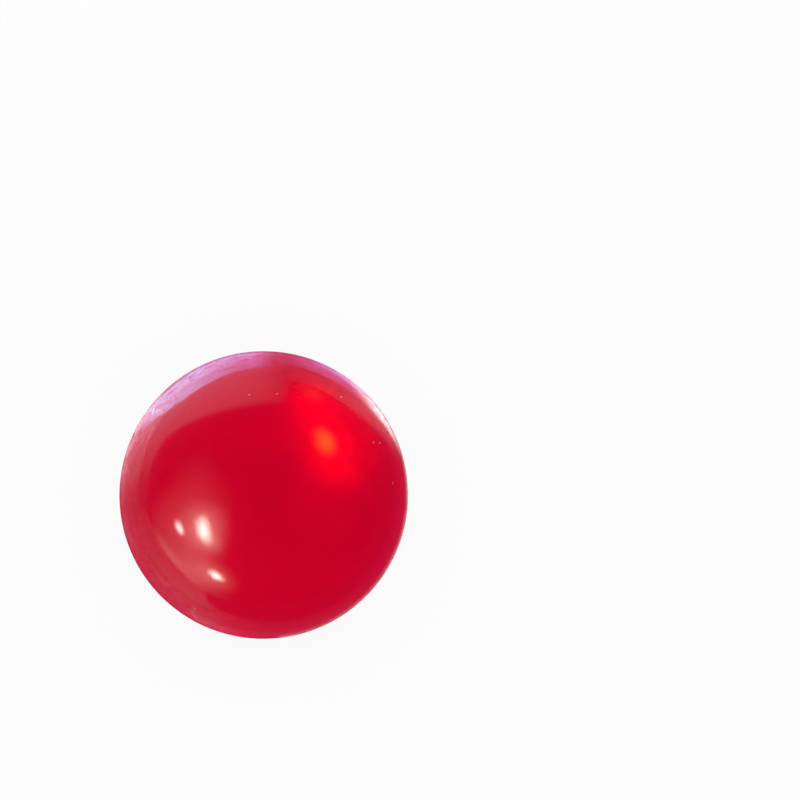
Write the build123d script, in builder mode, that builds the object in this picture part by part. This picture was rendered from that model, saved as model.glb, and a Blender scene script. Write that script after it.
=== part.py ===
"""A domed shank button, moulded in one piece from translucent plastic.

Sizes are in millimetres. The button stands dome up on the flat end of its shank. The origin is
the centre of that end, +Z runs along the button's axis towards the dome, the shank's long side
lies along X and the thread hole runs along Y.
"""

import os

from build123d import *

# Head: a flat back, an edge that leans out to the widest circle, and a dome above that circle
HEAD_DIAMETER = 15.0
EDGE_INSET = 0.3  # by which the back's rim stands inside the widest circle
EDGE_HEIGHT = 0.8  # from the back to the widest circle
EDGE_ROUND = 0.25  # along the widest circle
BACK_ROUND = 0.35  # between the back and the edge
DOME_HEIGHT = 6.0  # from the widest circle to the crown
DOME_FULLNESS_SHARE = 0.552  # pull of the dome's two ends: this much makes it a half ellipse

# Shank: a drafted block in the middle of the back, its length and thickness taken at its end
SHANK_LENGTH = 7.0
SHANK_THICKNESS = 2.4
SHANK_HEIGHT = 3.6  # from its end to the back
SHANK_DRAFT = 5.0  # degrees by which each side leans out towards the back
SHANK_CORNER = 0.6  # upright corners
SHANK_END_ROUND = 0.4  # around the end
SHANK_ROOT_ROUND = 0.3  # where the shank grows out of the back

# Thread hole: straight through the shank's thickness, close to the back, with rounded lips
HOLE_DIAMETER = 1.7
HOLE_TO_BACK = 1.45  # from the hole's axis to the back
HOLE_LIP_ROUND = 0.2

# How much of the wall that it stands on a rounding may take
EDGE_WALL_SHARE = 0.45
ROOT_WALL_SHARE = 0.55
END_WALL_SHARE = 0.55
LIP_WALL_SHARE = 0.35

head_radius = HEAD_DIAMETER / 2
back_radius = head_radius - EDGE_INSET
back_z = SHANK_HEIGHT
widest_z = back_z + EDGE_HEIGHT
crown_z = widest_z + DOME_HEIGHT

hole_radius = HOLE_DIAMETER / 2
hole_z = back_z - HOLE_TO_BACK
root_wall = HOLE_TO_BACK - hole_radius
end_wall = hole_z - hole_radius

edge_round = min(EDGE_ROUND, EDGE_HEIGHT * EDGE_WALL_SHARE)
back_round = min(BACK_ROUND, EDGE_HEIGHT * EDGE_WALL_SHARE)
root_round = min(SHANK_ROOT_ROUND, root_wall * ROOT_WALL_SHARE)
end_round = min(SHANK_END_ROUND, end_wall * END_WALL_SHARE)
lip_round = min(HOLE_LIP_ROUND, root_wall * LIP_WALL_SHARE, end_wall * LIP_WALL_SHARE)

with BuildPart() as button:
    # Half the head's section, turned about the button's axis
    with BuildSketch(Plane.XZ):
        with BuildLine():
            Polyline((0, crown_z), (0, back_z), (back_radius, back_z), (head_radius, widest_z))
            Bezier(
                (head_radius, widest_z),
                (head_radius, widest_z + DOME_HEIGHT * DOME_FULLNESS_SHARE),
                (head_radius * DOME_FULLNESS_SHARE, crown_z),
                (0, crown_z),
            )
        make_face()
    revolve(axis=Axis.Z)
    rims = button.edges().filter_by(GeomType.CIRCLE).sort_by(Axis.Z)
    fillet(rims[-1], edge_round)
    fillet(button.edges().filter_by(GeomType.CIRCLE).sort_by(Axis.Z)[0], back_round)

    # The shank runs on into the head as far as the widest circle, so that the two are one solid
    with BuildSketch(Plane.XY):
        RectangleRounded(SHANK_LENGTH, SHANK_THICKNESS, SHANK_CORNER)
    extrude(amount=widest_z, taper=-SHANK_DRAFT)
    shank_end = button.faces().sort_by(Axis.Z)[0]
    fillet(shank_end.edges(), end_round)
    back = button.faces().filter_by(Plane.XY).sort_by(Axis.Z)[-1]
    fillet(back.inner_wires()[0].edges(), root_round)

    # The hole's lips are rounded so that they don't cut the thread
    with Locations(Plane.XZ.shift_origin((0, 0, hole_z))):
        Hole(hole_radius)
    lips = button.edges(Select.LAST).filter_by(GeomType.LINE, reverse=True)
    fillet(lips, lip_round)

button.part.label = "shank_button"

os.makedirs("parts", exist_ok=True)
export_step(button.part, "parts/shank_button.step")
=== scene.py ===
"""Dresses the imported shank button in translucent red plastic, with its light, floor and camera.

The button is one moulding: a dome, an edge, a flat back and a block shank with a thread hole.
It stands dome up on the flat end of its shank. Sizes are in millimetres until a finished mesh
is scaled to the frame's metres, and angles are in degrees.
"""

from __future__ import annotations

import logging
import math
from dataclasses import dataclass, fields
from enum import Enum

import bmesh
import bpy
from mathutils import Matrix, Vector

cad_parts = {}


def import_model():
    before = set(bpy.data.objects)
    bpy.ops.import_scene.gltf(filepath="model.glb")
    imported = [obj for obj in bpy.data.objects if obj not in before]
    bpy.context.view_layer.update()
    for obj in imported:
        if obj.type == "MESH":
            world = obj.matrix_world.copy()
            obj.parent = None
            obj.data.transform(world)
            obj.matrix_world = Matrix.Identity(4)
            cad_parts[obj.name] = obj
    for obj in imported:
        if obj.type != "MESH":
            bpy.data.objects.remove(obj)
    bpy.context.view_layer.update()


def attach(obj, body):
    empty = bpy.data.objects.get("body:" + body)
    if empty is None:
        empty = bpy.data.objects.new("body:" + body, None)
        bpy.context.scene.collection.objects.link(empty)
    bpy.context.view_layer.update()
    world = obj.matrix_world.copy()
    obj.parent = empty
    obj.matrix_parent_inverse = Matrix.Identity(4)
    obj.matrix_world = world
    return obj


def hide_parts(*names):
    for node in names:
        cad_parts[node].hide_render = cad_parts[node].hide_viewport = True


MM = 0.001
NODE = "shank_button"
BODY = "root"

LOG = logging.getLogger("button")

Point = tuple[float, float]
Place = tuple[float, float, float]
Colour = tuple[float, float, float]
Lit = tuple[float, float, float, float]
Socket = bpy.types.NodeSocket

# The middle of the button's head
HEART = (0.0, 0.0, 7.0)

# Colours of the light that the button mirrors
WHITE = (1.0, 1.0, 1.0)
WARM = (1.0, 0.94, 0.84)
AMBER = (1.0, 0.34, 0.0)
PINK = (1.0, 0.85, 1.0)
LILAC = (0.27, 0.60, 1.0)
VIOLET = (0.40, 0.42, 1.1)
ORCHID = (0.60, 0.52, 1.0)
CREAM = (1.0, 0.98, 0.95)
DUSK = (0.66, 1.0, 1.08)
BLUSH = (1.0, 0.02, 0.14)
PALE = (0.9, 1.0, 1.0)


class NodeTree:
    """A node tree that is filled by short calls."""

    def __init__(self, tree: bpy.types.NodeTree) -> None:
        """Keeps the tree that the calls fill.

        Args:
            tree: an empty geometry or shader tree.
        """
        self.tree = tree

    def add(self, kind: str, settings: dict | None = None, **inputs: object) -> bpy.types.Node:
        """Adds a node.

        Args:
            kind: the node's type name.
            settings: values of the node's own properties.
            inputs: for each input, by its name with _ for a space, a socket to link or a value.

        Returns:
            The new node.
        """
        node = self.tree.nodes.new(kind)
        for name, value in (settings or {}).items():
            setattr(node, name, value)
        for name, value in inputs.items():
            self.feed(node.inputs[name.replace("_", " ")], value)
        return node

    def feed(self, socket: Socket, value: object) -> None:
        """Gives an input its value.

        Args:
            socket: the input.
            value: an output to link to it, or a plain value.
        """
        if isinstance(value, Socket):
            self.tree.links.new(value, socket)
        else:
            socket.default_value = value

    def join(self, kind: str, *values: object, **settings: object) -> Socket:
        """Adds a node whose inputs are told apart by their order alone.

        Args:
            kind: the node's type name.
            values: its inputs in order, each a socket or a plain value.
            settings: values of the node's own properties.

        Returns:
            The node's output.
        """
        node = self.add(kind, settings)
        for socket, value in zip(node.inputs, values):
            self.feed(socket, value)
        return next(output for output in node.outputs if output.enabled)

    def math(self, operation: str, *values: object) -> Socket:
        """Adds a math node with its inputs in order, and gives its output."""
        return self.join("ShaderNodeMath", *values, operation=operation)

    def blend(self, share: object, first: object, second: object, kind: str = "FLOAT") -> Socket:
        """Mixes two numbers or colours.

        Args:
            share: the second's share in the mix, from 0 to 1.
            first: a socket or a plain value.
            second: another of the same kind.
            kind: FLOAT for numbers, RGBA for colours.

        Returns:
            The mix.
        """
        node = self.add("ShaderNodeMix", {"data_type": kind}, Factor=share, A=first, B=second)
        return node.outputs["Result"]


def opaque(colour: Colour) -> tuple[float, ...]:
    """Adds the alpha that a colour socket takes."""
    return (*colour, 1.0)


def grey(level: float) -> tuple[float, ...]:
    """Gives a grey as a colour socket takes it."""
    return opaque((level, level, level))


def new_material(name: str) -> tuple[bpy.types.Material, NodeTree]:
    """Makes an empty material.

    Args:
        name: the material's name.

    Returns:
        The material and its empty tree.
    """
    material = bpy.data.materials.new(name)
    material.use_nodes = True
    material.node_tree.nodes.clear()
    return material, NodeTree(material.node_tree)


def turn_outwards(mesh: bpy.types.Mesh) -> None:
    """Turns the faces of a closed mesh outwards.

    Args:
        mesh: the mesh to change.
    """
    skin = bmesh.new()
    skin.from_mesh(mesh)
    bmesh.ops.recalc_face_normals(skin, faces=skin.faces)
    skin.to_mesh(mesh)
    skin.free()


def placed(
    name: str, points: list[Place], faces: list[tuple[int, ...]], material: bpy.types.Material
) -> bpy.types.Object:
    """Puts an object made of points and faces into the scene.

    Args:
        name: the object's name.
        points: its corners, in millimetres.
        faces: the corners of each face, by number.
        material: its one material.

    Returns:
        The object, in the frame's metres.
    """
    mesh = bpy.data.meshes.new(name)
    mesh.from_pydata([tuple(value * MM for value in point) for point in points], [], faces)
    mesh.materials.append(material)
    thing = bpy.data.objects.new(name, mesh)
    bpy.context.scene.collection.objects.link(thing)
    return thing


def show_in_gloss_only(thing: bpy.types.Object) -> None:
    """Hides an object from all rays but those that the gloss mirrors.

    Args:
        thing: the object to hide.
    """
    thing.visible_camera = False
    thing.visible_diffuse = False
    thing.visible_transmission = False
    thing.visible_volume_scatter = False
    thing.visible_shadow = False


def at(azimuth: float, distance: float, height: float) -> Place:
    """Gives a place round the button.

    Args:
        azimuth: degrees from +X towards +Y.
        distance: how far from the button's axis.
        height: how far above the floor.

    Returns:
        The place.
    """
    turn = math.radians(azimuth)
    return (distance * math.cos(turn), distance * math.sin(turn), height)


def toward(azimuth: float, elevation: float, distance: float) -> Place:
    """Gives the place at a direction and distance from the button's foot.

    Args:
        azimuth: degrees from +X towards +Y.
        elevation: degrees above the floor.
        distance: how far away.

    Returns:
        The place.
    """
    rise = math.radians(elevation)
    return at(azimuth, distance * math.cos(rise), distance * math.sin(rise))


def rounded(before: Point, corner: Point, after: Point, radius: float, steps: int) -> list[Point]:
    """Rounds a corner of a section.

    Args:
        before: a point on the line into the corner.
        corner: the corner.
        after: a point on the line out of it.
        radius: the rounding's radius.
        steps: how many steps the arc has.

    Returns:
        The arc's points, from the line in to the line out.
    """
    tip = Vector(corner)
    first = (Vector(before) - tip).normalized()
    last = (Vector(after) - tip).normalized()
    half = first.angle(last) / 2
    centre = tip + (first + last).normalized() * (radius / math.sin(half))
    start = tip + first * (radius / math.tan(half)) - centre
    end = tip + last * (radius / math.tan(half)) - centre
    turn = start.angle_signed(end)
    points = []
    for step in range(steps + 1):
        arm = start.copy()
        arm.rotate(Matrix.Rotation(-turn * step / steps, 2))
        points.append(tuple(centre + arm))
    return points


def spread(first: Point, last: Point, steps: int) -> list[Point]:
    """Spreads points along a line.

    Args:
        first: the line's start, which isn't among them.
        last: its end, which isn't among them.
        steps: how many equal steps the line has.

    Returns:
        The points between.
    """
    return [
        (
            first[0] + (last[0] - first[0]) * step / steps,
            first[1] + (last[1] - first[1]) * step / steps,
        )
        for step in range(1, steps)
    ]


@dataclass(frozen=True)
class Ring:
    """One ring of a loft, which is a circle, the shank's outline or a blend of the two.

    Attributes:
        radius: the circle's radius.
        offset: by how much the ring lies outside the outline of the shank's end.
        share: the outline's share in the blend, 0 for the circle and 1 for the outline.
        height: the ring's height.
    """

    radius: float
    offset: float
    share: float
    height: float


RING_KEYS = tuple(field.name for field in fields(Ring))


class RingLoft:
    """A Geometry Nodes tree that lofts a closed skin over a row of rings."""

    merge_gap = 1e-4

    def __init__(self) -> None:
        """Builds the tree once, for every loft."""
        self.group = bpy.data.node_groups.new("ring_loft", "GeometryNodeTree")
        interface = self.group.interface
        interface.new_socket("Geometry", in_out="INPUT", socket_type="NodeSocketGeometry")
        self.sockets = {
            name: interface.new_socket(
                name, in_out="INPUT", socket_type=f"NodeSocket{kind}"
            ).identifier
            for name, kind in (
                ("Rings", "Int"),
                ("Around", "Int"),
                ("Half Length", "Float"),
                ("Half Thickness", "Float"),
                ("Corner", "Float"),
                ("Material", "Material"),
            )
        }
        interface.new_socket("Geometry", in_out="OUTPUT", socket_type="NodeSocketGeometry")
        self._fill(NodeTree(self.group))

    def _fill(self, tree: NodeTree) -> None:
        """Fills the tree: a grid whose rows are laid on the rings and whose ends are closed.

        Args:
            tree: the empty tree.
        """
        given = tree.add("NodeGroupInput").outputs
        across = tree.math("ADD", given["Around"], 1.0)
        grid = tree.add("GeometryNodeMeshGrid", Vertices_X=given["Rings"], Vertices_Y=across)
        index = tree.add("GeometryNodeInputIndex").outputs[0]
        # Half a point more keeps the division off the step between two rows
        row = tree.math("FLOOR", tree.math("DIVIDE", tree.math("ADD", index, 0.5), across))
        step = tree.math("SUBTRACT", index, tree.math("MULTIPLY", row, across))
        angle = tree.math("MULTIPLY", step, tree.math("DIVIDE", math.tau, given["Around"]))
        east, north = tree.math("COSINE", angle), tree.math("SINE", angle)
        radius, offset, share, height = (
            self._ring_value(tree, given["Geometry"], row, key) for key in RING_KEYS
        )
        length, thickness, corner = (
            tree.blend(share, radius, tree.math("ADD", given[size], offset))
            for size in ("Half Length", "Half Thickness", "Corner")
        )
        out = self._reach(tree, (length, thickness, corner), (east, north))
        place = tree.add(
            "ShaderNodeCombineXYZ",
            X=tree.math("MULTIPLY", out, east),
            Y=tree.math("MULTIPLY", out, north),
            Z=height,
        )
        laid = tree.add(
            "GeometryNodeSetPosition", Geometry=grid.outputs["Mesh"], Position=place.outputs[0]
        )
        closed = tree.add(
            "GeometryNodeMergeByDistance", Geometry=laid.outputs[0], Distance=self.merge_gap
        )
        whole = tree.add("GeometryNodeRealizeInstances", Geometry=closed.outputs[0])
        smooth = tree.add("GeometryNodeSetShadeSmooth", Geometry=whole.outputs[0])
        dressed = tree.add(
            "GeometryNodeSetMaterial", Geometry=smooth.outputs[0], Material=given["Material"]
        )
        tree.add("NodeGroupOutput", Geometry=dressed.outputs[0])

    @staticmethod
    def _ring_value(tree: NodeTree, rings: Socket, row: Socket, key: str) -> Socket:
        """Reads a value of the ring that a grid point lies on.

        Args:
            tree: the tree to fill.
            rings: the geometry that holds one point for each ring.
            row: the ring's number.
            key: the value's name.

        Returns:
            The value.
        """
        stored = tree.add("GeometryNodeInputNamedAttribute", {"data_type": "FLOAT"}, Name=key)
        sample = tree.add(
            "GeometryNodeSampleIndex",
            {"data_type": "FLOAT", "domain": "POINT"},
            Geometry=rings,
            Index=row,
            Value=stored.outputs["Attribute"],
        )
        return sample.outputs["Value"]

    @staticmethod
    def _reach(tree: NodeTree, sizes: tuple[Socket, ...], heading: tuple[Socket, ...]) -> Socket:
        """Finds how far out a rounded rectangle lies along a line from its middle.

        Args:
            tree: the tree to fill.
            sizes: its half length, half thickness and corner radius.
            heading: the cosine and the sine of the line's angle.

        Returns:
            The distance.
        """
        length, thickness, corner = sizes
        cosine, sine = (tree.math("ABSOLUTE", part) for part in heading)
        inner_length = tree.math("SUBTRACT", length, corner)
        inner_thickness = tree.math("SUBTRACT", thickness, corner)
        along = tree.math(
            "ADD",
            tree.math("MULTIPLY", cosine, inner_length),
            tree.math("MULTIPLY", sine, inner_thickness),
        )
        far = tree.math(
            "ADD",
            tree.math("MULTIPLY", inner_length, inner_length),
            tree.math("MULTIPLY", inner_thickness, inner_thickness),
        )
        near = tree.math(
            "ADD", tree.math("MULTIPLY", along, along), tree.math("MULTIPLY", corner, corner)
        )
        root = tree.math("SQRT", tree.math("MAXIMUM", tree.math("SUBTRACT", near, far), 0.0))
        on_corner = tree.math("ADD", along, root)
        on_end = tree.math("DIVIDE", length, cosine)
        on_side = tree.math("DIVIDE", thickness, sine)
        meets_end = tree.math(
            "LESS_THAN",
            tree.math("MULTIPLY", length, sine),
            tree.math("MULTIPLY", inner_thickness, cosine),
        )
        meets_side = tree.math(
            "LESS_THAN",
            tree.math("MULTIPLY", thickness, cosine),
            tree.math("MULTIPLY", inner_length, sine),
        )
        return tree.blend(meets_end, tree.blend(meets_side, on_corner, on_side), on_end)

    def make(self, name: str, rings: list[Ring], **values: object) -> bpy.types.Object:
        """Lofts a skin.

        Args:
            name: the new object's name.
            rings: the rings in order, the first and the last of no width.
            values: the tree's other inputs, by name with _ for a space.

        Returns:
            An object with a plain mesh, its faces pointing outwards.
        """
        spine = bpy.data.meshes.new(name)
        spine.from_pydata([(0.0, 0.0, 0.0)] * len(rings), [], [])
        for key in RING_KEYS:
            stored = spine.attributes.new(key, "FLOAT", "POINT")
            stored.data.foreach_set("value", [getattr(ring, key) for ring in rings])
        piece = bpy.data.objects.new(name, spine)
        bpy.context.scene.collection.objects.link(piece)
        modifier = piece.modifiers.new("ring_loft", "NODES")
        modifier.node_group = self.group
        modifier[self.sockets["Rings"]] = len(rings)
        for key, value in values.items():
            modifier[self.sockets[key.replace("_", " ")]] = value
        return made_plain(piece)


def made_plain(piece: bpy.types.Object) -> bpy.types.Object:
    """Turns an object's modifiers into a plain mesh.

    Args:
        piece: an object with live modifiers.

    Returns:
        The same object, with a closed plain mesh whose faces point outwards.
    """
    graph = bpy.context.evaluated_depsgraph_get()
    mesh = bpy.data.meshes.new_from_object(piece.evaluated_get(graph))
    old = piece.data
    piece.modifiers.clear()
    piece.data = mesh
    bpy.data.meshes.remove(old)
    mesh.name = piece.name
    turn_outwards(mesh)
    for key in RING_KEYS:
        if key in mesh.attributes:
            mesh.attributes.remove(mesh.attributes[key])
    mesh.shade_smooth()
    return piece


class Surface(Enum):
    """The moulding's two surfaces."""

    POLISHED = "polished_red_plastic"
    SATIN = "satin_red_plastic"


@dataclass(frozen=True)
class RedPlastic:
    """Translucent red moulded plastic, polished on the dome and satin on the back and shank."""

    surface: Surface
    polish: float
    polish_haze: float
    haze: float
    grain: float
    specks: tuple[Place, ...] = ()
    colour: Colour = (0.90, 0.0004, 0.047)
    cloud_colour: Colour = (0.80, 0.0004, 0.041)
    dust_colour: Colour = (0.95, 0.22, 0.26)
    depth_colour: Colour = (0.97, 0.55, 0.3)
    depth_per_mm: float = 0.3
    refraction: float = 1.49
    polish_grain: float = 0.008
    under_gloss: float = 0.008
    under_tint: Colour = (1.0, 0.05, 0.07)
    clearness: float = 0.42
    bleed: Colour = (1.0, 0.12, 0.10)
    bleed_reach: float = 2.0
    cloud_size: float = 3.2
    cloud_detail: float = 2.0
    cloud_share: float = 0.8
    patch_size: float = 1.1
    patch_detail: float = 3.0
    patch_range: Point = (0.3, 0.7)
    patch_change: float = 0.05
    grain_size: float = 0.11
    grain_detail: float = 2.0
    grain_depth: float = 0.04
    speck_radius: float = 0.058

    def make(self) -> bpy.types.Material:
        """Builds the plastic's material.

        Returns:
            The material.
        """
        material, tree = new_material(self.surface.value)
        place = tree.add("ShaderNodeTexCoord").outputs["Object"]
        plastic = tree.add(
            "ShaderNodeBsdfPrincipled",
            Base_Color=self._base(tree, place),
            Roughness=self._roughness(tree, place),
            IOR=self.refraction,
            Specular_IOR_Level=self.under_gloss,
            Specular_Tint=opaque(self.under_tint),
            Transmission_Weight=self.clearness,
            Subsurface_Weight=1.0,
            Subsurface_Radius=self.bleed,
            Subsurface_Scale=self.bleed_reach * MM,
            Coat_Weight=self.polish,
            Coat_Roughness=self.polish_haze,
            Coat_IOR=self.refraction,
            Normal=self._relief(tree, place, self.grain),
            Coat_Normal=self._relief(tree, place, self.polish_grain),
        )
        depth = tree.add(
            "ShaderNodeVolumeAbsorption",
            Color=opaque(self.depth_colour),
            Density=self.depth_per_mm / MM,
        )
        tree.add(
            "ShaderNodeOutputMaterial", Surface=plastic.outputs[0], Volume=depth.outputs[0]
        )
        return material

    @staticmethod
    def _noise(tree: NodeTree, place: Socket, size: float, detail: float) -> Socket:
        """Adds a cloudy pattern.

        Args:
            tree: the material's tree.
            place: the Object coordinates.
            size: the size of one cloud.
            detail: how many finer layers the clouds have.

        Returns:
            The pattern, from 0 to 1.
        """
        noise = tree.add("ShaderNodeTexNoise", Vector=place, Scale=1 / (size * MM), Detail=detail)
        return noise.outputs["Fac"]

    def _base(self, tree: NodeTree, place: Socket) -> Socket:
        """Colours the plastic: faint clouds in the moulding, and a few specks of dust on it.

        Args:
            tree: the material's tree.
            place: the Object coordinates.

        Returns:
            The colour.
        """
        cloud = self._noise(tree, place, self.cloud_size, self.cloud_detail)
        share = tree.math("MULTIPLY", cloud, self.cloud_share)
        colour = tree.blend(share, opaque(self.colour), opaque(self.cloud_colour), "RGBA")
        for speck in self.specks:
            middle = tuple(value * MM for value in speck)
            gap = tree.join("ShaderNodeVectorMath", place, middle, operation="DISTANCE")
            dusty = tree.math("LESS_THAN", gap, self.speck_radius * MM)
            colour = tree.blend(dusty, colour, opaque(self.dust_colour), "RGBA")
        return colour

    def _roughness(self, tree: NodeTree, place: Socket) -> Socket:
        """Varies the haze a little from place to place.

        Args:
            tree: the material's tree.
            place: the Object coordinates.

        Returns:
            The roughness.
        """
        low, high = self.patch_range
        varied = tree.add(
            "ShaderNodeMapRange",
            Value=self._noise(tree, place, self.patch_size, self.patch_detail),
            From_Min=low,
            From_Max=high,
            To_Min=self.haze - self.patch_change,
            To_Max=self.haze + self.patch_change,
        )
        return varied.outputs[0]

    def _relief(self, tree: NodeTree, place: Socket, strength: float) -> Socket:
        """Gives a surface its fine grain.

        Args:
            tree: the material's tree.
            place: the Object coordinates.
            strength: how strongly the grain shows.

        Returns:
            The surface's direction.
        """
        bump = tree.add(
            "ShaderNodeBump",
            Height=self._noise(tree, place, self.grain_size, self.grain_detail),
            Strength=strength,
            Distance=self.grain_depth * MM,
        )
        return bump.outputs["Normal"]


@dataclass(frozen=True)
class ShankButton:
    """The button: dome, edge, back and shank in one skin, and the thread hole through the shank."""

    head_radius: float = 7.5
    edge_inset: float = 0.3
    edge_height: float = 0.8
    edge_round: float = 0.25
    back_round: float = 0.35
    dome_height: float = 6.0
    dome_fullness: float = 0.552
    shank_length: float = 7.0
    shank_thickness: float = 2.4
    shank_height: float = 3.6
    shank_draft: float = 5.0
    shank_corner: float = 0.6
    shank_end_round: float = 0.4
    shank_root_round: float = 0.3
    hole_radius: float = 0.85
    hole_to_back: float = 1.45
    hole_lip_round: float = 0.2
    mouth_flare: float = 78.0
    mouth_overrun: float = 0.3
    around: int = 256
    hole_around: int = 96
    dome_steps: int = 76
    edge_round_steps: int = 4
    edge_steps: int = 3
    round_steps: int = 8
    back_steps: int = 14
    shank_steps: int = 16
    end_steps: int = 8
    bore_steps: int = 6
    mouth_steps: int = 8
    specks: tuple[Point, ...] = (
        (0.75, 4.74),
        (-0.66, 4.68),
        (4.05, 4.72),
        (5.72, 2.35),
        (6.04, 2.39),
        (6.71, 0.33),
        (-3.51, -6.11),
        (-2.02, 6.47),
    )

    @property
    def widest(self) -> float:
        """The height of the widest circle."""
        return self.shank_height + self.edge_height

    @property
    def lean(self) -> float:
        """By how much a side of the shank moves out for each millimetre towards the back."""
        return math.tan(math.radians(self.shank_draft))

    def dome_finish(self) -> RedPlastic:
        """Gives the finish of the dome and the edge.

        Returns:
            Polished plastic with the specks of dust lifted onto the dome.
        """
        specks = []
        for east, north in self.specks:
            share = (east**2 + north**2) / self.head_radius**2
            specks.append((east, north, self.widest + self.dome_height * math.sqrt(1.0 - share)))
        return RedPlastic(
            Surface.POLISHED,
            polish=0.83,
            polish_haze=0.09,
            haze=0.45,
            grain=0.35,
            specks=tuple(specks),
        )

    def back_finish(self) -> RedPlastic:
        """Gives the finish of the back and the shank."""
        return RedPlastic(Surface.SATIN, polish=0.6, polish_haze=0.22, haze=0.42, grain=0.5)

    def head_rings(self) -> list[Ring]:
        """Lays out the head's rings.

        Returns:
            The rings of the dome from the crown down, the edge and the round into the back.
        """
        crown = self.widest + self.dome_height
        pull = self.dome_fullness
        rings = []
        for step in range(self.dome_steps):
            up = 1.0 - step / self.dome_steps
            down = 1.0 - up
            radius = self.head_radius * (down**3 + 3 * down * down * up + 3 * down * up * up * pull)
            rise = 3 * down * down * up * pull + 3 * down * up * up + up**3
            rings.append(Ring(radius, 0.0, 0.0, self.widest + self.dome_height * rise))
        rim = (self.head_radius, self.widest)
        back = (self.head_radius - self.edge_inset, self.shank_height)
        middle = (0.0, self.shank_height)
        upper = rounded(
            (self.head_radius, crown), rim, back, self.edge_round, self.edge_round_steps
        )
        lower = rounded(rim, back, middle, self.back_round, self.round_steps)
        for radius, height in upper + spread(upper[-1], lower[0], self.edge_steps) + lower:
            rings.append(Ring(radius, 0.0, 0.0, height))
        return rings

    def shank_rings(self, back_radius: float) -> list[Ring]:
        """Lays out the rings of the back and the shank.

        Args:
            back_radius: the radius of the back's flat part.

        Returns:
            The rings from the back's rim to the middle of the shank's end.
        """
        far_out, far_in = (self.head_radius, self.shank_height), (-self.head_radius, 0.0)
        root, foot = (self.shank_height * self.lean, self.shank_height), (0.0, 0.0)
        upper = rounded(far_out, root, foot, self.shank_root_round, self.round_steps)
        lower = rounded(root, foot, far_in, self.shank_end_round, self.round_steps)
        rings = [
            Ring(back_radius, upper[0][0], step / self.back_steps, self.shank_height)
            for step in range(1, self.back_steps)
        ]
        for offset, height in upper + spread(upper[-1], lower[0], self.shank_steps) + lower:
            rings.append(Ring(0.0, offset, 1.0, height))
        for step in range(1, self.end_steps + 1):
            rings.append(Ring(0.0, lower[-1][0], 1.0 - step / self.end_steps, 0.0))
        return rings

    def hole_rings(self) -> list[Ring]:
        """Lays out the thread hole's cutter along its axis.

        Returns:
            The rings from one mouth to the other, each mouth flared past the shank's side.
        """
        side = self.shank_thickness / 2 + (self.shank_height - self.hole_to_back) * self.lean
        lip, flare = self.hole_lip_round, math.radians(self.mouth_flare)
        start = side - lip
        mouth = []
        for step in range(self.mouth_steps + 1):
            turn = flare * step / self.mouth_steps
            radius = self.hole_radius + lip * (1 - math.cos(turn))
            mouth.append((radius, start + lip * math.sin(turn)))
        radius, reach = mouth[-1]
        end = reach + self.mouth_overrun * math.cos(flare)
        mouth.append((radius + self.mouth_overrun * math.sin(flare), end))
        mouth.append((0.0, end))
        bore = [
            (self.hole_radius, start * step / self.bore_steps) for step in range(self.bore_steps)
        ]
        half = [*bore, *mouth]
        whole = [(radius, -reach) for radius, reach in reversed(half[1:])] + half
        return [Ring(radius, 0.0, 0.0, reach) for radius, reach in whole]

    def build(self, loft: RingLoft) -> bpy.types.Object:
        """Builds the button's mesh.

        Args:
            loft: the tree that lofts a skin over rings.

        Returns:
            The button, in the frame's metres.
        """
        head = self.head_rings()
        rings = head + self.shank_rings(head[-1].radius)
        shape = {
            "Half_Length": self.shank_length / 2,
            "Half_Thickness": self.shank_thickness / 2,
            "Corner": self.shank_corner,
            "Material": self.dome_finish().make(),
        }
        button = loft.make("button", rings, Around=self.around, **shape)
        cutter = loft.make("hole", self.hole_rings(), Around=self.hole_around, **shape)
        self._lay_hole(cutter)
        cut = button.modifiers.new("thread_hole", "BOOLEAN")
        cut.operation = "DIFFERENCE"
        cut.solver = "EXACT"
        cut.object = cutter
        made_plain(button)
        bpy.data.objects.remove(cutter)
        button.data.materials.append(self.back_finish().make())
        satin = len(button.data.materials) - 1
        for face in button.data.polygons:
            if face.center.z < self.shank_height + self.back_round / 2:
                face.material_index = satin
        button.data.transform(Matrix.Scale(MM, 4))
        return button

    def _lay_hole(self, cutter: bpy.types.Object) -> None:
        """Lays the cutter along Y and leans its mouths with the shank's sides.

        Args:
            cutter: the hole's skin, which stands along Z.
        """
        height = self.shank_height - self.hole_to_back
        half = self.shank_thickness / 2
        for vertex in cutter.data.vertices:
            across, up, along = vertex.co
            level = height + up
            grow = (half + level * self.lean) / (half + height * self.lean)
            vertex.co = (across, along * grow, level)
        turn_outwards(cutter.data)


class LampReach(Enum):
    """What a lamp lights: the button's outside alone, or the inside of the plastic too."""

    OUTSIDE = "outside"
    THROUGH = "through"


class LampShape(Enum):
    """The outline of a lamp."""

    RECTANGLE = "RECTANGLE"
    ELLIPSE = "ELLIPSE"


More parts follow.
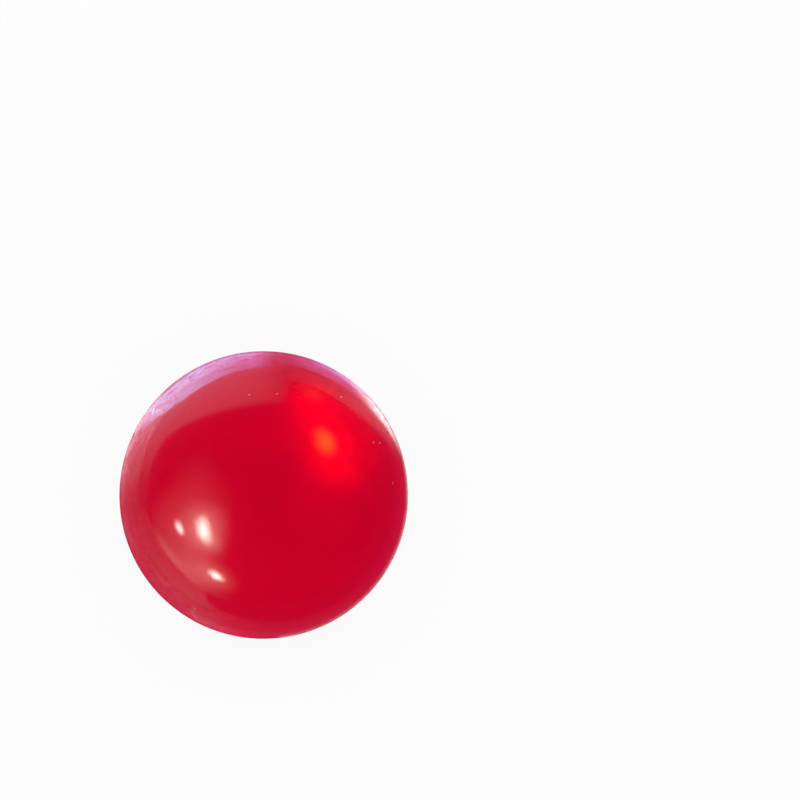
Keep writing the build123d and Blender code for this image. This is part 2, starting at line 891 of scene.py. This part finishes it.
@dataclass(frozen=True)
class Lamp:
    """A soft lamp that neither the camera nor the gloss shows."""

    name: str
    place: Place
    aim: Place
    size: Point
    brightness: float
    colour: Colour = WHITE
    turn: float = 0.0
    reach: LampReach = LampReach.OUTSIDE
    shape: LampShape = LampShape.RECTANGLE

    def build(self) -> None:
        """Hangs the lamp."""
        light = bpy.data.lights.new(self.name, "AREA")
        light.shape = self.shape.value
        light.size, light.size_y = (side * MM for side in self.size)
        light.energy = math.pi * self.brightness * light.size * light.size_y
        light.color = self.colour
        hung = bpy.data.objects.new(self.name, light)
        place, aim = Vector(self.place) * MM, Vector(self.aim) * MM
        facing = (aim - place).to_track_quat("-Z", "Y").to_matrix()
        turned = facing @ Matrix.Rotation(math.radians(self.turn), 3, "Z")
        hung.location = place
        hung.rotation_euler = turned.to_euler()
        hung.visible_camera = False
        hung.visible_glossy = False
        hung.visible_transmission = self.reach is LampReach.THROUGH
        hung.visible_volume_scatter = False
        bpy.context.scene.collection.objects.link(hung)


def glow(
    name: str, place: Place, size: Point, brightness: float, colour: Colour, turn: float
) -> Lamp:
    """Describes an oval lamp that shines straight up into the plastic.

    Args:
        name: the lamp's name.
        place: where it lies, under the head.
        size: its length and width.
        brightness: how bright it is.
        colour: the light's colour.
        turn: by how much it is turned about its middle.

    Returns:
        The lamp.
    """
    aim = (place[0], place[1], place[2] + size[0])
    return Lamp(
        name, place, aim, size, brightness, colour, turn, LampReach.THROUGH, LampShape.ELLIPSE
    )


@dataclass(frozen=True)
class Spoke:
    """One line of a card, from the button outwards or from the floor up.

    Attributes:
        azimuth: degrees from +X towards +Y.
        bright: how bright the card is along it.
        end: the distance or height at which it ends.
    """

    azimuth: float
    bright: float
    end: float


def fan(*lines: tuple[float, float, float]) -> tuple[Spoke, ...]:
    """Makes spokes, each from its azimuth, brightness and end."""
    return tuple(Spoke(*line) for line in lines)


def ring(
    bright: float, end: float, first: int = 0, last: int = 360, step: int = 6
) -> tuple[Spoke, ...]:
    """Spreads like spokes round the button.

    Args:
        bright: how bright each is.
        end: the distance at which each ends.
        first: the first one's azimuth.
        last: the last one's azimuth.
        step: the degrees from one to the next.

    Returns:
        The spokes in order.
    """
    return tuple(Spoke(turn, bright, end) for turn in range(first, last + 1, step))


def between(spokes: tuple[Spoke, ...], steps: int = 5) -> list[Spoke]:
    """Fills in spokes between those given.

    Args:
        spokes: the spokes in order.
        steps: how many steps go from one to the next.

    Returns:
        The spokes given, with the ones between them.
    """
    filled = []
    for first, last in zip(spokes, spokes[1:]):
        for step in range(steps):
            share = step / steps
            filled.append(
                Spoke(
                    first.azimuth + (last.azimuth - first.azimuth) * share,
                    first.bright + (last.bright - first.bright) * share,
                    first.end + (last.end - first.end) * share,
                )
            )
    return [*filled, spokes[-1]]


def eased(value: float, start: float, stop: float) -> float:
    """Rises smoothly from 0 to 1.

    Args:
        value: where to look.
        start: where the rise begins.
        stop: where it ends, above the start or below it.

    Returns:
        The height of the rise there.
    """
    share = min(1.0, max(0.0, (value - start) / (stop - start)))
    return share * share * (3.0 - 2.0 * share)


@dataclass(frozen=True)
class Card:
    """A card that only the gloss shows. Its light adds to that of the cards behind it."""

    name: str
    colour: Colour

    def rows(self) -> list[list[Lit]]:
        """Gives the rows of points that the card is made of, each with its brightness."""
        raise NotImplementedError

    def build(self) -> None:
        """Sets the card up."""
        rows = self.rows()
        points = [point for row in rows for point in row]
        wide = len(rows[0])
        faces = [
            (i, i + 1, i + 1 + wide, i + wide) for i in range(len(points) - wide) if (i + 1) % wide
        ]
        card = placed(self.name, [point[:3] for point in points], faces, self._shine())
        bright = card.data.attributes.new("bright", "FLOAT", "POINT")
        bright.data.foreach_set("value", [point[3] for point in points])
        show_in_gloss_only(card)

    def _shine(self) -> bpy.types.Material:
        """Makes the card's material.

        Returns:
            A clear material that shines as brightly as each point says.
        """
        material, tree = new_material(self.name)
        strength = tree.add("ShaderNodeAttribute", {"attribute_name": "bright"}).outputs["Fac"]
        shine = tree.add("ShaderNodeEmission", Color=opaque(self.colour), Strength=strength)
        clear = tree.add("ShaderNodeBsdfTransparent")
        both = tree.join("ShaderNodeAddShader", shine.outputs[0], clear.outputs[0])
        tree.add("ShaderNodeOutputMaterial", Surface=both)
        return material


@dataclass(frozen=True)
class FloorCard(Card):
    """A card laid on the floor beside the button.

    Attributes:
        spokes: the lines that it is made of.
        near: the distance at which it begins.
        near_share: the share of its brightness that it begins with.
        full: the distance at which it is fully bright.
        fade_share: the share of a spoke's length at which it begins to fade.
        height: how far above the floor it lies.
        steps: how many steps a spoke has.
        crowding: how closely the steps crowd towards the button.
    """

    spokes: tuple[Spoke, ...]
    near: float = 8.2
    near_share: float = 0.0
    full: float = 15.7
    fade_share: float = 0.85
    height: float = 0.3
    steps: int = 14
    crowding: float = 1.5

    def rows(self) -> list[list[Lit]]:
        """Gives each spoke's points, from where it starts to where it ends."""
        rows = []
        for spoke in between(self.spokes):
            run = spoke.end - self.near
            fade = self.near + run * self.fade_share
            row = []
            for step in range(self.steps + 1):
                where = self.near + run * (step / self.steps) ** self.crowding
                rise = eased(where, self.near, min(self.full, fade))
                level = self.near_share + (1 - self.near_share) * rise
                level *= eased(where, spoke.end, fade)
                row.append((*at(spoke.azimuth, where, self.height), spoke.bright * level))
            rows.append(row)
        return rows


@dataclass(frozen=True)
class WallCard(Card):
    """A card that stands upright round the button.

    Attributes:
        spokes: the upright lines that it is made of.
        distance: how far away it stands.
        fade_share: the share of its height at which it begins to fade.
    """

    spokes: tuple[Spoke, ...]
    distance: float = 200.0
    fade_share: float = 0.85

    def rows(self) -> list[list[Lit]]:
        """Gives each spoke's points, from the floor up."""
        levels = ((0.0, 1.0), (self.fade_share, 1.0), (1.0, 0.0))
        return [
            [
                (*at(spoke.azimuth, self.distance, spoke.end * share), spoke.bright * level)
                for share, level in levels
            ]
            for spoke in between(self.spokes)
        ]


@dataclass(frozen=True)
class SoftPatch(Card):
    """An oval patch that hangs in the air and fades to nothing at its edge.

    Attributes:
        azimuth: the direction of its middle, from +X towards +Y.
        elevation: how high its middle is above the floor.
        width: the half width at half brightness.
        height: the half height at half brightness.
        bright: the brightness of its middle.
        turn: by how much it is turned about its middle.
        distance: how far away it hangs.
        steps: how many steps go from its middle to its edge.
        spread: the edge's distance from the middle, in half widths.
    """

    azimuth: float
    elevation: float
    width: float
    height: float
    bright: float
    turn: float = 0.0
    distance: float = 300.0
    steps: int = 8
    spread: float = 2.0

    def rows(self) -> list[list[Lit]]:
        """Gives the patch's grid of points."""
        tilt, cosine = math.radians(self.turn), math.cos(math.radians(self.elevation))
        half = math.log(2.0)
        marks = [self.spread * step / self.steps for step in range(-self.steps, self.steps + 1)]
        rows = []
        for across in marks:
            row = []
            for up in marks:
                side, rise = across * self.width, up * self.height
                azimuth = self.azimuth + (side * math.cos(tilt) - rise * math.sin(tilt)) / cosine
                elevation = self.elevation + side * math.sin(tilt) + rise * math.cos(tilt)
                fade = math.exp(-half * (across**2 + up**2)) - math.exp(-half * self.spread**2)
                place = toward(azimuth, elevation, self.distance)
                row.append((*place, self.bright * max(0.0, fade)))
            rows.append(row)
        return rows


@dataclass(frozen=True)
class Floor:
    """A pale floor that looks white and keeps the button's shadow. From below it is clear."""

    size: float = 2000.0
    gap: float = 0.02
    shade: float = 0.9
    white_share: float = 0.9

    def build(self) -> None:
        """Lays the floor."""
        half = self.size / 2
        corners = [(-half, -half), (half, -half), (half, half), (-half, half)]
        points = [(east, north, -self.gap) for east, north in corners]
        floor = placed("floor", points, [(0, 1, 2, 3)], self._material())

    def _material(self) -> bpy.types.Material:
        """Makes the floor's material.

        Returns:
            A pale material, nearly white to the camera, the gloss and the clear plastic.
        """
        material, tree = new_material("pale_floor")
        ray = tree.add("ShaderNodeLightPath").outputs
        matt = tree.add("ShaderNodeBsdfDiffuse", Color=grey(self.shade)).outputs[0]
        white = tree.add("ShaderNodeEmission", Color=opaque(WHITE), Strength=1.0).outputs[0]
        clear = tree.add("ShaderNodeBsdfTransparent").outputs[0]
        below = tree.add("ShaderNodeNewGeometry").outputs["Backfacing"]
        shown = tree.math("MAXIMUM", ray["Is Camera Ray"], ray["Is Glossy Ray"])
        shown = tree.math("MAXIMUM", shown, ray["Is Transmission Ray"])
        share = tree.math("MULTIPLY", shown, self.white_share)
        above = tree.join("ShaderNodeMixShader", share, matt, white)
        both = tree.join("ShaderNodeMixShader", below, above, clear)
        tree.add("ShaderNodeOutputMaterial", Surface=both)
        return material


@dataclass(frozen=True)
class DarkCover:
    """A dark cover over the floor that only the gloss shows, with a hole round the shank."""

    inner: float = 7.6
    outer: float = 1500.0
    height: float = 0.1
    steps: int = 60
    shade: float = 0.02

    def build(self) -> None:
        """Lays the cover."""
        points = [
            at(360.0 * step / self.steps, distance, self.height)
            for step in range(self.steps)
            for distance in (self.inner, self.outer)
        ]
        count = len(points)
        faces = [(i, i + 1, (i + 3) % count, (i + 2) % count) for i in range(0, count, 2)]
        material, tree = new_material("dark_cover")
        matt = tree.add("ShaderNodeBsdfDiffuse", Color=grey(self.shade))
        tree.add("ShaderNodeOutputMaterial", Surface=matt.outputs[0])
        cover = placed("dark_cover", points, faces, material)
        show_in_gloss_only(cover)


@dataclass(frozen=True)
class Sky:
    """A pale surround that looks white to the camera and dark to the gloss."""

    level: float = 0.65
    camera_level: float = 1.0
    gloss_level: float = 0.0

    def build(self) -> None:
        """Makes the scene's world."""
        world = bpy.data.worlds.new("studio")
        bpy.context.scene.world = world
        world.use_nodes = True
        world.node_tree.nodes.clear()
        tree = NodeTree(world.node_tree)
        ray = tree.add("ShaderNodeLightPath").outputs
        strength = tree.blend(ray["Is Camera Ray"], self.level, self.camera_level)
        strength = tree.blend(ray["Is Glossy Ray"], strength, self.gloss_level)
        sky = tree.add("ShaderNodeBackground", Color=opaque(WHITE), Strength=strength)
        tree.add("ShaderNodeOutputWorld", Surface=sky.outputs[0])


LAMPS: tuple[Lamp, ...] = (
    Lamp("overhead", (0.0, 0.0, 600.0), HEART, (600.0, 600.0), 1.24),
    glow("glow_core", (2.6, 2.2, 3.1), (1.8, 1.0), 5.0, (1.0, 0.3, 0.0), 57.0),
    glow("glow_round", (2.6, 2.4, 3.0), (4.0, 3.0), 1.5, (1.0, 0.1, 0.0), 57.0),
    glow("glow_far", (1.75, 3.8, 3.1), (1.8, 0.8), 4.0, (1.0, 0.4, 0.1), 20.0),
)

CARDS: tuple[Card, ...] = (
    SoftPatch("lamp_large", WARM, -149.4, 42.6, 5.8, 3.5, 37.0, -30.0),
    SoftPatch("lamp_small", WARM, -159.2, 25.3, 2.9, 2.0, 38.0, 9.0),
    SoftPatch("lamp_low", WARM, -121.0, 20.2, 3.3, 2.4, 40.0, -6.0),
    SoftPatch("lamp_tail", WARM, -138.0, 42.0, 4.8, 4.4, 3.4),
    SoftPatch("lamp_halo", WARM, -149.4, 43.0, 11.5, 10.5, 4.3, -68.0),
    SoftPatch("low_halo", WARM, -123.0, 18.5, 9.0, 8.0, 2.6),
    SoftPatch("lamp_haze", WARM, -140.5, 21.0, 27.0, 12.0, 1.6, -64.0),
    SoftPatch("side_haze", WARM, -163.0, 17.0, 18.0, 11.0, 0.75, -60.0),
    SoftPatch("high_haze", WARM, -172.0, 46.0, 17.0, 14.0, 0.6),
    SoftPatch("low_haze", WARM, -135.0, 3.6, 13.0, 9.0, 1.05, 85.0),
    SoftPatch("lamp_streak", WARM, -152.0, 1.8, 10.0, 4.2, 1.9, 20.0),
    SoftPatch("glow_card", AMBER, 41.0, 35.2, 5.9, 5.0, 9.6, -50.0),
    SoftPatch("glow_far_card", AMBER, 66.0, 3.6, 6.0, 4.0, 1.1, -88.0),
    FloorCard(
        "blush_ring",
        BLUSH,
        ring(0.58, 22.0),
        near=7.6,
        near_share=1.0,
        full=8.5,
        fade_share=0.4,
    ),
    FloorCard(
        "blush_low",
        BLUSH,
        fan(
            (240.0, 0.0, 12.0),
            (249.0, 1.1, 12.5),
            (259.0, 1.1, 12.5),
            (270.0, 0.0, 12.0),
        ),
        near=7.6,
        near_share=1.0,
        full=8.2,
        fade_share=0.5,
    ),
    FloorCard(
        "rim_ring",
        PALE,
        ring(0.56, 10.4, -84, 30),
        near=7.6,
        near_share=1.0,
        full=8.6,
        fade_share=0.35,
    ),
    FloorCard(
        "orchid_card",
        ORCHID,
        fan(
            (76.0, 0.0, 11.5),
            (66.0, 0.7, 12.0),
            (59.0, 2.2, 12.5),
            (53.0, 2.7, 12.5),
            (47.0, 1.5, 12.5),
            (41.0, 0.0, 12.0),
        ),
        near=7.6,
        near_share=0.8,
        full=8.6,
        fade_share=0.5,
    ),
    FloorCard(
        "pink_card",
        PINK,
        fan(
            (186.0, 0.0, 36.0),
            (178.0, 0.12, 36.0),
            (168.0, 0.8, 38.0),
            (158.0, 1.05, 38.0),
            (148.0, 1.7, 34.0),
            (140.0, 1.1, 34.0),
            (130.0, 0.0, 34.0),
        ),
        near=7.8,
        full=9.5,
        fade_share=0.45,
    ),
    FloorCard(
        "lilac_card",
        LILAC,
        fan(
            (153.0, 0.0, 13.0),
            (146.0, 3.0, 17.0),
            (140.0, 10.2, 24.0),
            (134.0, 8.6, 33.0),
            (128.0, 6.4, 40.0),
            (119.0, 6.2, 42.0),
            (112.0, 3.4, 37.0),
            (105.0, 1.5, 34.0),
            (97.0, 0.0, 31.0),
        ),
        full=15.0,
        fade_share=0.9,
    ),
    FloorCard(
        "violet_card",
        VIOLET,
        fan(
            (124.0, 0.0, 40.0),
            (114.0, 1.8, 38.0),
            (106.0, 3.7, 34.0),
            (99.0, 4.0, 31.5),
            (93.0, 2.6, 30.0),
            (87.0, 0.5, 28.0),
            (79.0, 0.6, 20.0),
            (66.0, 1.8, 19.0),
            (55.0, 1.5, 17.0),
            (48.0, 0.7, 15.0),
            (41.0, 0.0, 14.0),
        ),
        near=8.3,
        full=12.0,
    ),
    FloorCard(
        "cream_card",
        CREAM,
        fan(
            (57.0, 0.0, 13.0),
            (51.0, 1.4, 15.0),
            (46.0, 4.2, 16.0),
            (41.0, 6.2, 16.0),
            (35.0, 6.2, 14.0),
            (30.0, 4.2, 12.5),
            (24.0, 1.6, 11.5),
            (18.0, 0.0, 11.0),
        ),
        near=8.7,
        full=9.8,
        fade_share=0.45,
    ),
    FloorCard(
        "side_card",
        DUSK,
        fan(
            (150.0, 0.0, 24.0),
            (166.0, 0.15, 24.0),
            (182.0, 0.23, 36.0),
            (190.0, 0.28, 120.0),
            (199.0, 0.36, 250.0),
            (206.0, 0.42, 400.0),
            (214.0, 0.52, 500.0),
            (222.0, 0.62, 500.0),
            (234.0, 0.64, 500.0),
            (240.0, 0.52, 46.0),
            (246.0, 0.38, 29.0),
            (256.0, 0.15, 27.0),
            (272.0, 0.07, 23.0),
            (300.0, 0.05, 17.0),
            (330.0, 0.0, 15.0),
        ),
        full=10.5,
        fade_share=0.75,
    ),
    FloorCard(
        "streak_card",
        WARM,
        fan(
            (194.0, 0.0, 300.0),
            (200.0, 0.40, 400.0),
            (206.0, 0.40, 500.0),
            (212.0, 0.20, 500.0),
            (220.0, 0.0, 500.0),
        ),
        near=45.0,
        full=100.0,
    ),
    FloorCard(
        "floor_card",
        DUSK,
        fan(
            (185.0, 0.05, 240.0),
            (170.0, 0.15, 240.0),
            (152.0, 0.70, 240.0),
            (135.0, 0.84, 240.0),
            (110.0, 0.78, 240.0),
            (95.0, 0.58, 240.0),
            (82.0, 0.16, 240.0),
            (66.0, 0.28, 120.0),
            (50.0, 0.46, 60.0),
            (40.0, 0.48, 36.0),
            (28.0, 0.32, 19.0),
            (16.0, 0.0, 13.0),
        ),
        near=8.2,
        full=13.0,
        fade_share=0.6,
    ),
    WallCard(
        "back_card",
        DUSK,
        fan(
            (165.0, 0.05, 5.0),
            (149.0, 0.60, 17.0),
            (137.0, 0.80, 58.0),
            (126.0, 0.84, 90.0),
            (113.0, 0.84, 112.0),
            (100.0, 0.80, 121.0),
            (89.0, 0.60, 114.0),
            (76.0, 0.0, 102.0),
        ),
        fade_share=0.75,
    ),
)


@dataclass(frozen=True)
class Studio:
    """The floor, the surround, the lamps, and the cover and cards that the gloss shows."""

    floor: Floor = Floor()
    sky: Sky = Sky()
    cover: DarkCover = DarkCover()
    lamps: tuple[Lamp, ...] = LAMPS
    cards: tuple[Card, ...] = CARDS

    def build(self) -> None:
        """Builds the floor, the surround, the lamps, the cover and the cards."""
        self.floor.build()
        self.sky.build()
        for lamp in self.lamps:
            lamp.build()
        self.cover.build()
        for card in self.cards:
            card.build()


@dataclass(frozen=True)
class PhotoCamera:
    """A long lens that looks down on the dome, nearly along the button's axis."""

    distance: float = 360.0
    elevation: float = 83.0
    frame_width: float = 41.52
    right_of_button: float = 7.08
    above_button: float = 4.88
    aim_height: float = 4.9
    sensor: float = 36.0
    nearest: float = 10.0
    farthest: float = 10000.0

    def build(self) -> None:
        """Makes the scene's camera."""
        data = bpy.data.cameras.new("camera")
        data.sensor_width = self.sensor
        data.lens = self.sensor * self.distance / self.frame_width
        data.clip_start = self.nearest * MM
        data.clip_end = self.farthest * MM
        camera = bpy.data.objects.new("camera", data)
        tilt = math.radians(self.elevation)
        back = Vector((0.0, -math.cos(tilt), math.sin(tilt)))
        right = Vector((1.0, 0.0, 0.0))
        up = back.cross(right)
        place = (
            Vector((0.0, 0.0, self.aim_height))
            + back * self.distance
            + right * self.right_of_button
            + up * self.above_button
        )
        camera.location = place * MM
        camera.rotation_euler = (-back).to_track_quat("-Z", "Y").to_euler()
        bpy.context.scene.collection.objects.link(camera)
        bpy.context.scene.camera = camera


def main() -> None:
    """Builds the camera, the studio and the button."""
    logging.basicConfig(level=logging.INFO)
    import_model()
    PhotoCamera().build()
    Studio().build()
    button = ShankButton().build(RingLoft())
    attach(button, BODY)
    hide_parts(NODE)
    LOG.info("%s: %d faces", button.name, len(button.data.polygons))
    bpy.context.scene.view_settings.view_transform = "Standard"


if __name__ == "__main__":
    main()
